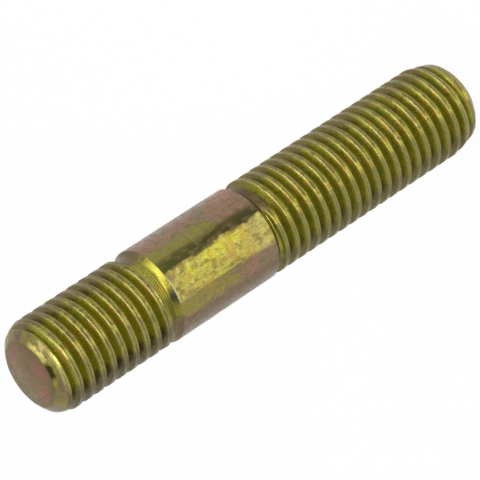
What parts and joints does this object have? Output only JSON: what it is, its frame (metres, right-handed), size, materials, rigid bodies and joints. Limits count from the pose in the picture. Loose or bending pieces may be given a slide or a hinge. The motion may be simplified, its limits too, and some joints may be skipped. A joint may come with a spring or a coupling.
{
  "type": "double ended stud",
  "caption": "Double ended steel stud with a short threaded tap end, a plain shank and a longer threaded nut end, right-hand coarse threads, yellow passivated zinc plating.",
  "frame": {"origin": "centre of the nut end's flat face, which the stud stands on", "axes": "+Z along the stud's own axis, from the nut end up to the tap end; the camera's side is -Y"},
  "size_m": [0.018, 0.018, 0.101],
  "materials": {
    "plated_steel": "zinc plated steel with yellow chromate passivation: satin, yellow-green with pink and grey blotches"
  },
  "bodies": {
    "root": {"stud": "plated_steel"}
  },
  "joints": []
}
